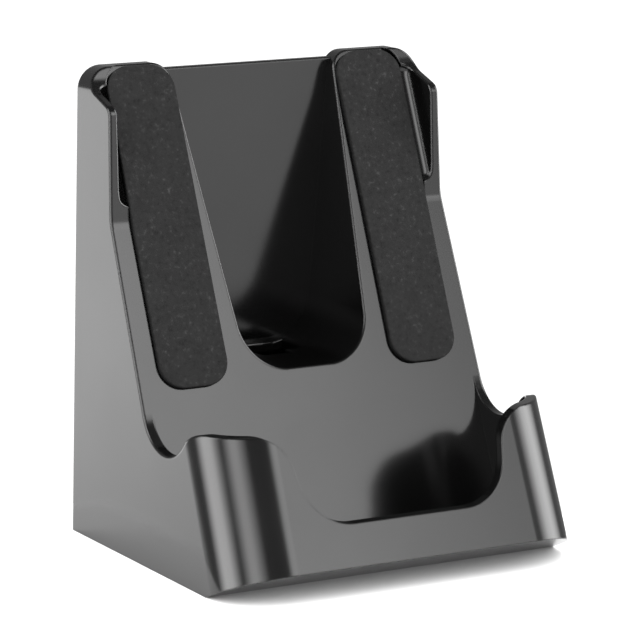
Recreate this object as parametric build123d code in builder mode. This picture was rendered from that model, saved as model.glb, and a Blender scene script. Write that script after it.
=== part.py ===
# Upright display stand for a computer mouse: one hollow moulded body, open
# underneath, with two soft strips on its leaning face.
# Millimetres, +Z up, front towards -Y. The stand rests on Z = 0 and the origin
# is the middle of its footprint. Depths below count from the back bottom edge.
from build123d import *
from math import cos, radians, sin, sqrt, tan
import os

os.makedirs("parts", exist_ok=True)

# overall
base_width = 80.0             # width of the underside
base_depth = 60.6             # depth of the face that stands on the table
height = 97.2                 # top of the two rails
side_draft = 1.1              # each side wall leans in, degrees
back_draft = 0.8              # the back wall leans in, degrees
top_corner_radius = 5.0       # outer top corners, seen from the front
wall = 2.1                    # general wall thickness
edge_radius = 0.45            # rounding of the outer edges

# leaning face and shelf, square to each other
lean = 23.0                   # leaning face from the vertical, degrees
rail_depth = 4.74             # leaning face from the back's foot, at the top
toe_length = 15.3             # sloping underside of the shelf, in front of the base
shelf_foot = 2.57             # height of the shelf floor at the leaning face
shelf_fillet = 3.0            # leaning face into the shelf floor
tray_inset = 2.6              # base's side to the inside of the shelf's side wall
lip_corner_radius = 12.9      # upright corners of the lip

# lip and scooped side walls
ear_rise = 18.2               # top of the lip at its two ends, above the shelf floor there
ear_radius = 8.0              # lip top into the scoop
scoop_rise = 11.5             # lowest point of the scoop, above the shelf floor at the lip
scoop_radius = 10.4
notch_sill = 0.9              # bottom of the lip's wide notch, above the shelf floor there
notch_inset = 18.5            # base's side to the notch at its bottom
notch_flare = 10.8            # its sides lean out, degrees
notch_corner_radius = 10.5
notch_top_radius = 7.6

# channel down the middle of the leaning face
channel_bottom = 36.4
channel_half_width = 13.85    # at its bottom, corners left square
channel_flare = 5.0           # its sides lean out, degrees
channel_corner_radius = 10.0
channel_top_radius = 4.2      # channel into the top of the rails
back_wall_drop = 1.4          # back wall between the rails, below their top

# opening in the channel floor
slot_back = 4.7               # depths
slot_step = 13.2
slot_front = 16.6
slot_half_width = 7.4         # rear part
slot_stem_half_width = 3.4    # front part

# soft strips, each on the leaning face beside the channel
pad_inset = 5.7               # base's side to the strip's outer edge
pad_gap = 0.4                 # channel to the strip, at the strip's upper end
pad_thickness = 1.2
pad_bottom = 34.7             # height of its lower end on the leaning face
pad_top_drop = 0.5            # its upper end below the top
pad_corner_radius = 5.2
pad_edge = 0.25               # rounding of the strip's front edge

# side wings and raised rim, outside the strips
wing_drop = 29.9              # top of the stand to the foot of the wings
wing_lean = 2.1               # their front leans back, degrees
wing_top_drop = 7.2           # top of the stand to the top of their front
wing_top_radius = 2.4
wing_foot_radius = 9.0        # front into the leaning face
rim_drop = 4.1                # top of the stand to where wings and rim meet
rim_radius = 5.0
rim_height = 1.15             # rim above the leaning face
recess_inset = 5.4            # base's side to the room for the strips
recess_corner_radius = 6.0
pocket_inset = 3.55           # base's side to the pocket inside a wing
pocket_foot_drop = 27.7       # top of the stand to the two ends of the pocket
pocket_top_drop = 3.9
pocket_fillet = 2.1
pocket_corner_radius = 2.3

# hollow underneath
core_drop = 9.2               # top of the stand to the top of the hollow
core_corner_radius = 3.0

# derived
rise = tan(radians(lean))
up_y = sin(radians(lean))
up_z = cos(radians(lean))
half_base = base_width / 2
half_top = half_base - height * tan(radians(side_draft))
back_step = tan(radians(back_draft))
wall_run = wall / up_z
rim_run = rim_height / up_z
far = 150.0

toe_y = -base_depth - toe_length * up_z
toe_z = toe_length * up_y
face_foot = rail_depth + height * rise
lip_foot = -toe_y + toe_z * rise
lip_inner_foot = lip_foot - wall_run
shelf_room = (lip_inner_foot - face_foot) * up_z
shelf_back_y = -face_foot + shelf_foot * rise
shelf_lip_y = shelf_back_y - shelf_room * up_z
shelf_lip_z = shelf_foot + shelf_room * up_y
ear_top = shelf_lip_z + ear_rise
scoop_bottom = shelf_lip_z + scoop_rise
notch_bottom = shelf_lip_z + notch_sill
lip_top_y = -lip_foot + ear_top * rise

# the scoop is a hollow arc and a round arc that meet smoothly
scoop_z = scoop_bottom + scoop_radius
scoop_y = -face_foot + scoop_z * rise - scoop_radius / up_z
scoop_start_y = scoop_y + scoop_radius * up_z
scoop_start_z = scoop_z - scoop_radius * up_y
ear_z = ear_top - ear_radius
ear_y = scoop_y - sqrt((scoop_radius + ear_radius) ** 2 - (scoop_z - ear_z) ** 2)
share = scoop_radius / (scoop_radius + ear_radius)
turn_y = scoop_y + (ear_y - scoop_y) * share
turn_z = scoop_z + (ear_z - scoop_z) * share
ear_mid_y = (turn_y - ear_y) / 2
ear_mid_z = (turn_z - ear_z + ear_radius) / 2
ear_reach = ear_radius / sqrt(ear_mid_y ** 2 + ear_mid_z ** 2)

wing_start = height - wing_drop
wing_top = height - wing_top_drop
wing_front = face_foot - wing_start * rise
wing_top_y = -wing_front + (wing_top - wing_start) * tan(radians(wing_lean))
rim_start = height - rim_drop
rim_start_y = -face_foot + rim_start * rise - rim_run
rim_top_y = -face_foot + height * rise - rim_run
recess_top = height + recess_corner_radius - recess_corner_radius * up_z
pocket_half = half_base - pocket_inset
pocket_foot = height - pocket_foot_drop
pocket_top = height - pocket_top_drop

wall_top = height - back_wall_drop
channel_slope = tan(radians(channel_flare))
channel_top_half = channel_half_width + (height - channel_bottom) * channel_slope
notch_half_width = half_base - notch_inset
notch_top_half = notch_half_width + (ear_top - notch_bottom) * tan(radians(notch_flare))
notch_depth = lip_inner_foot - ear_top * rise - wall / 2

core_top = height - core_drop
core_front = base_depth - wall_run
wedge_foot = shelf_foot - wall_run + shelf_back_y * rise
core_half_base = half_base - wall
core_half_top = core_half_base - core_top * tan(radians(side_draft))

pad_top = height - pad_top_drop
pad_shoulder = pad_top - pad_corner_radius * up_z
pad_inner = channel_half_width + (pad_shoulder - channel_bottom) * channel_slope + pad_gap
pad_width = half_base - pad_inset - pad_inner
pad_offset = pad_inner + pad_width / 2
pad_length = (pad_top - pad_bottom) / up_z
pad_corner = min(pad_corner_radius, 0.45 * pad_width)
pad_middle = (pad_top + pad_bottom) / 2 / up_z

# side view: X is depth behind the back bottom edge, Y is height
side_view = Plane(origin=(0, -toe_y / 2, 0), x_dir=(0, 1, 0), z_dir=(1, 0, 0))
# front view: X is across, Y is height, and it looks back from the back bottom edge
front_view = Plane(origin=(0, -toe_y / 2, 0), x_dir=(1, 0, 0), z_dir=(0, -1, 0))
plan_view = Plane(origin=(0, -toe_y / 2, 0), x_dir=(1, 0, 0), z_dir=(0, 0, 1))
# leaning face: X is across, Y is the way up the slope from the table
face_view = Plane(
    origin=(0, -toe_y / 2 - face_foot, 0),
    x_dir=(1, 0, 0),
    z_dir=(0, -up_z, up_y),
)

# room for the strips on the leaning face, between the wings and inside the rim
with BuildPart() as recess:
    with BuildSketch(face_view):
        with Locations((0, (pad_bottom + recess_top) / 2 / up_z)):
            Rectangle(2 * (half_base - recess_inset), (recess_top - pad_bottom) / up_z)
        fillet(vertices().group_by(Axis.Y)[-1], recess_corner_radius)
    extrude(amount=half_base)

# pocket inside each wing, rounded where its walls meet the leaning face
with BuildPart() as pockets:
    with BuildSketch(face_view):
        with Locations((0, (pocket_foot + pocket_top) / 2 / up_z)):
            Rectangle(2 * pocket_half, (pocket_top - pocket_foot) / up_z)
        fillet(vertices(), pocket_corner_radius)
    extrude(amount=half_base)
    fillet(faces().sort_by(Axis(face_view.origin, face_view.z_dir))[0].edges(), pocket_fillet)

# room above the shelf
with BuildPart() as tray_space:
    with BuildSketch(side_view):
        with BuildLine():
            Polyline(
                (shelf_back_y, shelf_foot),
                (-face_foot + 2 * ear_top * rise, 2 * ear_top),
                (-lip_inner_foot + 2 * ear_top * rise, 2 * ear_top),
                (shelf_lip_y, shelf_lip_z),
                close=True,
            )
        make_face()
        fillet(vertices().sort_by_distance((shelf_back_y, shelf_foot))[0], shelf_fillet)
    extrude(amount=half_base - tray_inset, both=True)
    lip_edges = edges().filter_by(lambda e: abs(e.tangent_at(0.5).Z) > 0.9).sort_by(Axis.Y)
    fillet(lip_edges[:2], lip_corner_radius - wall)

# room above the scooped side walls
with BuildPart() as scoop_space:
    with BuildSketch(side_view):
        with BuildLine():
            ThreePointArc(
                (scoop_start_y, scoop_start_z),
                (scoop_y, scoop_bottom),
                (turn_y, turn_z),
            )
            ThreePointArc(
                (turn_y, turn_z),
                (ear_y + ear_mid_y * ear_reach, ear_z + ear_mid_z * ear_reach),
                (ear_y, ear_top),
            )
            Polyline(
                (ear_y, ear_top),
                (ear_y, 2 * ear_top),
                (-face_foot + 2 * ear_top * rise, 2 * ear_top),
                (scoop_start_y, scoop_start_z),
            )
        make_face()
    extrude(amount=half_base, both=True)

# channel, and the gap between the rails
with BuildSketch(front_view) as channel_outline:
    with BuildLine():
        Polyline(
            (-half_base, height),
            (-channel_top_half, height),
            (-channel_half_width, channel_bottom),
            (channel_half_width, channel_bottom),
            (channel_top_half, height),
            (half_base, height),
            (half_base, far),
            (-half_base, far),
            close=True,
        )
    make_face()
    fillet(vertices().group_by(Axis.Y)[0], channel_corner_radius)
    fillet(vertices().sort_by_distance((-channel_top_half, height))[0], channel_top_radius)
    fillet(vertices().sort_by_distance((channel_top_half, height))[0], channel_top_radius)

with BuildPart() as channel_space:
    extrude(channel_outline.sketch, amount=far)
    with BuildSketch(side_view):
        with BuildLine():
            Polyline(
                (-wall, 0),
                (-wall - far * back_step, far),
                (-far, far),
                (-far, 0),
                close=True,
            )
        make_face()
    extrude(amount=half_base, both=True, mode=Mode.INTERSECT)

with BuildPart() as rail_gap:
    extrude(channel_outline.sketch, amount=far, both=True)
    split(bisect_by=Plane.XY.offset(wall_top), keep=Keep.TOP)

# hollow underneath
with BuildPart() as core:
    with BuildSketch(side_view):
        with BuildLine():
            Polyline(
                (-wall, 0),
                (-wall - core_top * back_step, core_top),
                (-face_foot + wall_run + core_top * rise, core_top),
                (-face_foot + wall_run, 0),
                close=True,
            )
        make_face()
        with BuildLine():
            Polyline(
                (-core_front, -far),
                (-core_front, wedge_foot + core_front * rise),
                (-face_foot, wedge_foot + face_foot * rise),
                (-face_foot, -far),
                close=True,
            )
        make_face()
    extrude(amount=half_base, both=True)
    with BuildSketch(front_view):
        with BuildLine():
            Polyline(
                (-core_half_base, 0),
                (-core_half_top, core_top),
                (core_half_top, core_top),
                (core_half_base, 0),
                close=True,
            )
        make_face()
        fillet(vertices().group_by(Axis.Y)[-1], core_corner_radius)
    extrude(amount=far, mode=Mode.INTERSECT)
    with BuildSketch(front_view):
        with BuildLine():
            Polyline(
                (-channel_top_half - wall, height),
                (-channel_half_width - wall, channel_bottom - wall),
                (channel_half_width + wall, channel_bottom - wall),
                (channel_top_half + wall, height),
                close=True,
            )
        make_face()
        fillet(vertices().group_by(Axis.Y)[0], channel_corner_radius + wall)
    extrude(amount=far, mode=Mode.SUBTRACT)

with BuildPart() as stand_body:
    # shelf and lower body, up to the top of the lip
    with BuildSketch(side_view):
        with BuildLine():
            Polyline(
                (0, 0),
                (-ear_top * back_step, ear_top),
                (lip_top_y, ear_top),
                (toe_y, toe_z),
                (-base_depth, 0),
                close=True,
            )
        make_face()
    extrude(amount=half_base, both=True)
    # upper body with the wings over its whole width
    with BuildSketch(side_view):
        with BuildLine():
            Polyline(
                (0, 0),
                (-height * back_step, height),
                (rim_top_y, height),
                (rim_start_y, rim_start),
                (wing_top_y, wing_top),
                (-wing_front, wing_start),
                (-face_foot, 0),
                close=True,
            )
        make_face()
        fillet(vertices().sort_by_distance((rim_start_y, rim_start))[0], rim_radius)
        fillet(vertices().sort_by_distance((wing_top_y, wing_top))[0], wing_top_radius)
        fillet(vertices().sort_by_distance((-wing_front, wing_start))[0], wing_foot_radius)
    extrude(amount=half_base, both=True)
    # side walls and outer top corners
    with BuildSketch(front_view):
        with BuildLine():
            Polyline(
                (-half_base, 0),
                (-half_top, height),
                (half_top, height),
                (half_base, 0),
                close=True,
            )
        make_face()
        fillet(vertices().group_by(Axis.Y)[-1], top_corner_radius)
    extrude(amount=far, both=True, mode=Mode.INTERSECT)
    # upright corners of the lip
    lip_edges = edges().filter_by(lambda e: abs(e.tangent_at(0.5).Z) > 0.9).sort_by(Axis.Y)
    fillet(lip_edges[:2], lip_corner_radius)
    add(scoop_space.part, mode=Mode.SUBTRACT)
    # rounded edges of the side walls, front and top
    side_faces = faces().filter_by(lambda f: f.is_planar and abs(f.normal_at().X) > 0.99)
    fillet(side_faces.edges().filter_by(lambda e: e.center().Z > scoop_bottom - wall), edge_radius)
    add(tray_space.part, mode=Mode.SUBTRACT)
    add(recess.part, mode=Mode.SUBTRACT)
    add(pockets.part, mode=Mode.SUBTRACT)
    # wide notch in the lip
    with BuildSketch(front_view.offset(notch_depth)):
        with BuildLine():
            Polyline(
                (-half_base, ear_top),
                (-notch_top_half, ear_top),
                (-notch_half_width, notch_bottom),
                (notch_half_width, notch_bottom),
                (notch_top_half, ear_top),
                (half_base, ear_top),
                (half_base, 2 * ear_top),
                (-half_base, 2 * ear_top),
                close=True,
            )
        make_face()
        fillet(vertices().group_by(Axis.Y)[0], notch_corner_radius)
        fillet(vertices().sort_by_distance((-notch_top_half, ear_top))[0], notch_top_radius)
        fillet(vertices().sort_by_distance((notch_top_half, ear_top))[0], notch_top_radius)
    extrude(amount=far, mode=Mode.SUBTRACT)
    add(channel_space.part, mode=Mode.SUBTRACT)
    add(rail_gap.part, mode=Mode.SUBTRACT)
    # rounded edges of the channel, the back wall between the rails and the wings
    leaning_face = faces().filter_by(Axis(face_view.origin, face_view.z_dir)).sort_by(SortBy.AREA)[-1]
    rail_edges = leaning_face.edges().filter_by(lambda e: abs(e.center().X) < pad_offset + wall)
    fillet(rail_edges.filter_by(lambda e: e.center().Z > ear_top), edge_radius)
    fillet(edges().filter_by(Axis.X).filter_by_position(Axis.Z, wall_top, wall_top), edge_radius)
    wing_edges = edges().filter_by(GeomType.CIRCLE)
    fillet(wing_edges.filter_by(lambda e: abs(abs(e.center().X) - pocket_half) < 0.01), edge_radius)
    add(core.part, mode=Mode.SUBTRACT)
    # opening in the channel floor
    with BuildSketch(plan_view.offset(channel_bottom - 2 * wall)):
        with Locations((0, -(slot_back + slot_step) / 2)):
            Rectangle(2 * slot_half_width, slot_step - slot_back)
        with Locations((0, -(slot_back + slot_front) / 2)):
            Rectangle(2 * slot_stem_half_width, slot_front - slot_back)
    extrude(amount=3 * wall, mode=Mode.SUBTRACT)
    slot_edges = edges(Select.LAST).sort_by(Axis.Z)
    fillet(slot_edges.filter_by(lambda e: e.center().Z > channel_bottom - wall / 4), edge_radius)
stand_body.part.label = "stand_body"
export_step(stand_body.part, "parts/stand_body.step")

# soft strips
with BuildPart() as left_pad:
    with BuildSketch(face_view):
        with Locations((-pad_offset, pad_middle)):
            RectangleRounded(pad_width, pad_length, pad_corner)
    extrude(amount=pad_thickness)
    fillet(faces().sort_by(Axis(face_view.origin, face_view.z_dir))[-1].edges(), pad_edge)
left_pad.part.label = "left_pad"
export_step(left_pad.part, "parts/left_pad.step")

with BuildPart() as right_pad:
    with BuildSketch(face_view):
        with Locations((pad_offset, pad_middle)):
            RectangleRounded(pad_width, pad_length, pad_corner)
    extrude(amount=pad_thickness)
    fillet(faces().sort_by(Axis(face_view.origin, face_view.z_dir))[-1].edges(), pad_edge)
right_pad.part.label = "right_pad"
export_step(right_pad.part, "parts/right_pad.step")
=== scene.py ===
# Mouse display stand: glossy black moulded body with two soft strips, in a white studio.
import math

import bmesh
import bpy
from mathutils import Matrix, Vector


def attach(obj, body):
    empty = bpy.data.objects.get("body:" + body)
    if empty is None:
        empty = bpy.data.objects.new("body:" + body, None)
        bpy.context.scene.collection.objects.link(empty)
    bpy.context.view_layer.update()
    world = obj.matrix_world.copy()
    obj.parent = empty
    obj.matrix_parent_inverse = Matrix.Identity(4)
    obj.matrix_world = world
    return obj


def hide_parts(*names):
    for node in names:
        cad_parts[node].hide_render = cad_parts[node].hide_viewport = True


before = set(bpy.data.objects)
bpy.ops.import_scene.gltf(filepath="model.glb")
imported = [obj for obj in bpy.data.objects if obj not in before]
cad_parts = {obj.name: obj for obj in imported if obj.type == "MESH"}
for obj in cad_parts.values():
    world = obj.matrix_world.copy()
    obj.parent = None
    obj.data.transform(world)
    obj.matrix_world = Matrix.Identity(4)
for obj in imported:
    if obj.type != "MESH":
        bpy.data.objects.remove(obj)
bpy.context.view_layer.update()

scene = bpy.context.scene
scene.view_settings.view_transform = "Standard"
scene.view_settings.look = "None"

MM = 0.001

# camera at the photograph's angle: places and range in metres, lens and sensor in millimetres
CAMERA_PLACE = Vector((-0.34789, -0.62236, 0.18743))
CAMERA_TARGET = Vector((0.00357, 0.009342, 0.045108))
CAMERA_LENS = 202.07
CAMERA_SENSOR = 36.0
CAMERA_NEAREST = 0.01
CAMERA_FARTHEST = 20.0

# soft strips on the leaning face, in millimetres
LEAN = math.radians(23.0)     # of the face, from upright
FACE_FOOT = -8.65709          # where the face, carried down, meets the table
STRIP_BOTTOM = 34.7           # heights of the strip's two ends on the face
STRIP_TOP = 96.7
STRIP_INNER = 19.107          # distances of its two long edges from the middle of the stand
STRIP_OUTER = 34.3
STRIP_THICKNESS = 1.2
STRIP_CORNER = 5.2            # radius of the outline's corners
STRIP_EDGE = 0.3              # radius of the edge round the top
CORNER_STEPS = 14             # facets round a corner
EDGE_STEPS = 5                # facets over the edge
TOP_INSETS = (0.7, 1.4, 2.6, 4.2)   # rounds of points on the flat top

# floor, in metres
FLOOR_SIZE = 0.114            # small, so that low reflections pass its edge and see the studio
FLOOR_DROP = 0.00002          # keeps the floor off the stand's foot

# brightness of the studio
LIGHT = 3.9                   # even light on surfaces
BACKDROP = 1.2                # what the camera sees
FAR_GROUND = 1.5              # what reflections see far below
ROOF = 0.16                   # what they see high above
BRIGHTEST = 8.0               # no panel in the lists below is brighter

# what reflections see around the stand: degrees from the front, left is negative, and brightness
DARK_BACK = [(-180, 0.3)]
LEFT = [(-122, 0.35), (-107, 7.4), (-93, 7.4), (-76, 0.5), (-73, 0.5), (-58, 5.0), (-49, 5.0), (-27, 0.3)]
LOW_FRONT = [(15, 0.3), (25, 1.95), (29.5, 1.95), (33, 1.3), (40, 0.3)]
HIGH_FRONT = [(12, 0.3), (22, 5.0), (31, 5.0), (38, 0.8)]
RIGHT = [(46, 0.3), (64, 7.5), (78, 7.5), (99, 0.3)]
GROUND_LEFT = [(-180, 2.85), (-152, 2.85), (-144, 0.7), (-136, 0.35)]
GROUND_RIGHT = [(134, 0.3), (142, 0.6), (152, 2.85), (180, 2.85)]

# heights between which each layer fades in, from -1 straight down to 1 straight up
GROUND_FADE = (-0.27, -0.19)
LOW_FADE = (-0.03, 0.02)
HIGH_FADE = (0.25, 0.31)
ROOF_FADE = (0.6, 0.78)

# values that noise mostly lies between
NOISE_LOW = 0.3
NOISE_HIGH = 0.7

# noise values and the foam's gray level at each, from its pores to its light specks
FOAM_SPECKS = [(0.3, 0.0068), (0.42, 0.0094), (0.59, 0.0106), (0.68, 0.0165), (0.79, 0.027)]


# nodes that the materials and the studio share

def gray(level):
    return (level, level, level, 1.0)


# a number is set on the socket, and anything else is linked to it
def feed(tree, value, socket):
    if not isinstance(value, (int, float)):
        tree.links.new(value, socket)
    elif socket.type == "RGBA":
        socket.default_value = gray(value)
    else:
        socket.default_value = value


def noise(tree, place, scale, detail=2.0, roughness=0.5):
    node = tree.nodes.new("ShaderNodeTexNoise")
    node.inputs["Scale"].default_value = scale
    node.inputs["Detail"].default_value = detail
    node.inputs["Roughness"].default_value = roughness
    tree.links.new(place, node.inputs["Vector"])
    return node.outputs["Fac"]


# stops are pairs of a value and the gray level that it gets
def ramp(tree, value, stops):
    node = tree.nodes.new("ShaderNodeValToRGB")
    elements = node.color_ramp.elements
    while len(elements) < len(stops):
        elements.new(0.5)         # moved to its own place below
    for element, (position, level) in zip(elements, stops):
        element.position = position
        element.color = gray(level)
    tree.links.new(value, node.inputs["Fac"])
    return node.outputs["Color"]


def shade(tree, value, dark, light):
    return ramp(tree, value, [(NOISE_LOW, dark), (NOISE_HIGH, light)])


def spread(tree, value, low, high, from_low=NOISE_LOW, from_high=NOISE_HIGH):
    node = tree.nodes.new("ShaderNodeMapRange")
    node.inputs["From Min"].default_value = from_low
    node.inputs["From Max"].default_value = from_high
    node.inputs["To Min"].default_value = low
    node.inputs["To Max"].default_value = high
    tree.links.new(value, node.inputs["Value"])
    return node.outputs["Result"]


def maths(tree, operation, first, second):
    node = tree.nodes.new("ShaderNodeMath")
    node.operation = operation
    feed(tree, first, node.inputs[0])
    feed(tree, second, node.inputs[1])
    return node.outputs["Value"]


def mix(tree, share, first, second, kind="RGBA", mode="MIX"):
    node = tree.nodes.new("ShaderNodeMix")
    node.data_type = kind
    node.blend_type = mode
    feed(tree, share, node.inputs["Factor"])
    feed(tree, first, node.inputs["A"])
    feed(tree, second, node.inputs["B"])
    return node.outputs["Result"]


def bump(tree, height, strength, distance, before=None):
    node = tree.nodes.new("ShaderNodeBump")
    node.inputs["Strength"].default_value = strength
    node.inputs["Distance"].default_value = distance
    tree.links.new(height, node.inputs["Height"])
    if before is not None:
        tree.links.new(before, node.inputs["Normal"])
    return node.outputs["Normal"]


# outer edges look softly rounded, and inner corners, where little open air is in reach, stay crisp
def soft_edges(tree, radius, reach, corner_air=0.8, edge_air=0.95, samples=6):
    plain = tree.nodes.new("ShaderNodeNewGeometry")
    rounded = tree.nodes.new("ShaderNodeBevel")
    rounded.samples = samples
    rounded.inputs["Radius"].default_value = radius
    air = tree.nodes.new("ShaderNodeAmbientOcclusion")
    air.samples = samples
    air.inputs["Distance"].default_value = reach
    outside = spread(tree, air.outputs["AO"], 0.0, 1.0, from_low=corner_air, from_high=edge_air)
    return mix(tree, outside, plain.outputs["Normal"], rounded.outputs["Normal"], kind="VECTOR")


# materials

def new_material(name):
    material = bpy.data.materials.new(name)
    material.use_nodes = True
    tree = material.node_tree
    tree.nodes.clear()
    out = tree.nodes.new("ShaderNodeOutputMaterial")
    shader = tree.nodes.new("ShaderNodeBsdfPrincipled")
    tree.links.new(shader.outputs["BSDF"], out.inputs["Surface"])
    place = tree.nodes.new("ShaderNodeTexCoord").outputs["Object"]
    return material, tree, shader, place


def plastic():
    material, tree, shader, place = new_material("black_plastic")
    cloud = noise(tree, place, scale=45.0, detail=3.0)
    grain = noise(tree, place, scale=5200.0, roughness=0.6)
    waves = noise(tree, place, scale=28.0, detail=1.0)
    tree.links.new(shade(tree, cloud, 0.002, 0.0027), shader.inputs["Base Color"])
    tree.links.new(spread(tree, cloud, 0.13, 0.17), shader.inputs["Roughness"])
    shader.inputs["IOR"].default_value = 1.52
    normal = soft_edges(tree, radius=0.00045, reach=0.0007)
    normal = bump(tree, waves, strength=0.05, distance=0.0004, before=normal)
    normal = bump(tree, grain, strength=0.06, distance=0.00002, before=normal)
    tree.links.new(normal, shader.inputs["Normal"])
    return material


def foam():
    material, tree, shader, place = new_material("soft_strip")
    cells = noise(tree, place, scale=3600.0, detail=3.0, roughness=0.65)
    specks = noise(tree, place, scale=980.0, detail=3.0, roughness=0.66)
    cloud = noise(tree, place, scale=260.0)
    speckled = ramp(tree, specks, FOAM_SPECKS)
    worn = shade(tree, cloud, 0.86, 1.0)
    tree.links.new(mix(tree, 1.0, speckled, worn, mode="MULTIPLY"), shader.inputs["Base Color"])
    tree.links.new(spread(tree, cells, 0.85, 1.0), shader.inputs["Roughness"])
    shader.inputs["Specular IOR Level"].default_value = 0.08
    tree.links.new(bump(tree, cells, strength=0.35, distance=0.00008), shader.inputs["Normal"])
    return material


def pale_floor():
    material, tree, shader, place = new_material("pale_floor")
    cloud = noise(tree, place, scale=30.0)
    tree.links.new(shade(tree, cloud, 0.62, 0.64), shader.inputs["Base Color"])
    tree.links.new(spread(tree, cloud, 0.86, 0.94), shader.inputs["Roughness"])
    shader.inputs["Specular IOR Level"].default_value = 0.1
    return material


# one closed round of points, drawn in from the strip's outline and lifted off the face
def strip_round(side, inset, lift):
    middle = (STRIP_TOP + STRIP_BOTTOM) / 2
    half_width = (STRIP_OUTER - STRIP_INNER) / 2
    half_length = (STRIP_TOP - STRIP_BOTTOM) / math.cos(LEAN) / 2
    centre = Vector((side * (STRIP_INNER + STRIP_OUTER) / 2, FACE_FOOT + middle * math.tan(LEAN), middle))
    up = Vector((0.0, math.sin(LEAN), math.cos(LEAN)))
    out = Vector((0.0, -math.cos(LEAN), math.sin(LEAN)))
    radius = STRIP_CORNER - inset
    points = []
    for quarter, (across, along) in enumerate(((1, 1), (-1, 1), (-1, -1), (1, -1))):
        for i in range(CORNER_STEPS + 1):
            turn = math.radians(90 * quarter + 90 * i / CORNER_STEPS)
            x = across * (half_width - STRIP_CORNER) + radius * math.cos(turn)
            y = along * (half_length - STRIP_CORNER) + radius * math.sin(turn)
            points.append(centre + Vector((x, 0, 0)) + up * y + out * lift)
    return points


# inset and lift of each round, up the side, over the rounded edge and across the top
def strip_profile():
    profile = [(0.0, 0.0)]
    for i in range(EDGE_STEPS + 1):
        turn = math.radians(90 * i / EDGE_STEPS)
        inset = STRIP_EDGE * (1 - math.cos(turn))
        lift = STRIP_THICKNESS - STRIP_EDGE * (1 - math.sin(turn))
        profile.append((inset, lift))
    for inset in TOP_INSETS:
        profile.append((inset, STRIP_THICKNESS))
    return profile


def strip(name, node, side, material):
    mesh = bmesh.new()
    rounds = []
    for inset, lift in strip_profile():
        rounds.append([mesh.verts.new(point * MM) for point in strip_round(side, inset, lift)])
    for below, above in zip(rounds, rounds[1:]):
        for i in range(len(below)):
            j = (i + 1) % len(below)
            mesh.faces.new((below[i], below[j], above[j], above[i]))
    mesh.faces.new(rounds[-1])
    mesh.faces.new(list(reversed(rounds[0])))
    bmesh.ops.recalc_face_normals(mesh, faces=mesh.faces)
    data = bpy.data.meshes.new(name)
    mesh.to_mesh(data)
    mesh.free()
    for polygon in data.polygons:
        polygon.use_smooth = True
    data.materials.append(material)
    obj = bpy.data.objects.new(name, data)
    scene.collection.objects.link(obj)
    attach(obj, "root")
    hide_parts(node)


def floor():
    bpy.ops.mesh.primitive_plane_add(size=FLOOR_SIZE, location=(0, 0, -FLOOR_DROP))
    plane = bpy.context.object
    plane.name = "floor"
    plane.data.materials.append(pale_floor())


def background(tree, strength, colour=1.0):
    node = tree.nodes.new("ShaderNodeBackground")
    node.inputs["Strength"].default_value = strength
    feed(tree, colour, node.inputs["Color"])
    return node.outputs["Background"]


# even light on surfaces, while reflections see soft panels and dark gaps between them
def studio():
    world = bpy.data.worlds.new("studio")
    scene.world = world
    world.use_nodes = True
    tree = world.node_tree
    tree.nodes.clear()
    direction = tree.nodes.new("ShaderNodeTexCoord").outputs["Generated"]
    parts = tree.nodes.new("ShaderNodeSeparateXYZ")
    tree.links.new(direction, parts.inputs["Vector"])
    forward = maths(tree, "MULTIPLY", parts.outputs["Y"], -1.0)
    angle = maths(tree, "ARCTAN2", parts.outputs["X"], forward)
    way_round = spread(tree, angle, 0.0, 1.0, from_low=-math.pi, from_high=math.pi)

    def around(stops):
        placed = [((degrees + 180) / 360, level / BRIGHTEST) for degrees, level in stops]
        return ramp(tree, way_round, placed)

    layers = (
        (GROUND_FADE, around(GROUND_LEFT + LEFT + LOW_FRONT + RIGHT + GROUND_RIGHT)),
        (LOW_FADE, around(DARK_BACK + LEFT + LOW_FRONT + RIGHT)),
        (HIGH_FADE, around(DARK_BACK + LEFT + HIGH_FRONT + RIGHT)),
        (ROOF_FADE, ROOF / BRIGHTEST),
    )
    seen = FAR_GROUND / BRIGHTEST
    for (start, end), layer in layers:
        share = spread(tree, parts.outputs["Z"], 0.0, 1.0, from_low=start, from_high=end)
        seen = mix(tree, share, seen, layer)
    shown = background(tree, BRIGHTEST, seen)

    ray = tree.nodes.new("ShaderNodeLightPath")
    for kind, strength in (("Is Diffuse Ray", LIGHT), ("Is Camera Ray", BACKDROP)):
        choose = tree.nodes.new("ShaderNodeMixShader")
        tree.links.new(ray.outputs[kind], choose.inputs["Fac"])
        tree.links.new(shown, choose.inputs[1])
        tree.links.new(background(tree, strength), choose.inputs[2])
        shown = choose.outputs["Shader"]
    out = tree.nodes.new("ShaderNodeOutputWorld")
    tree.links.new(shown, out.inputs["Surface"])


def camera():
    data = bpy.data.cameras.new("camera")
    data.lens = CAMERA_LENS
    data.sensor_width = CAMERA_SENSOR
    data.clip_start = CAMERA_NEAREST
    data.clip_end = CAMERA_FARTHEST
    obj = bpy.data.objects.new("camera", data)
    scene.collection.objects.link(obj)
    obj.location = CAMERA_PLACE
    obj.rotation_euler = (CAMERA_TARGET - CAMERA_PLACE).to_track_quat("-Z", "Y").to_euler()
    scene.camera = obj


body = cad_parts["stand_body"]
body.data.materials.clear()
body.data.materials.append(plastic())

pad_foam = foam()
strip("left_strip", "left_pad", -1, pad_foam)
strip("right_strip", "right_pad", 1, pad_foam)

floor()
studio()
camera()
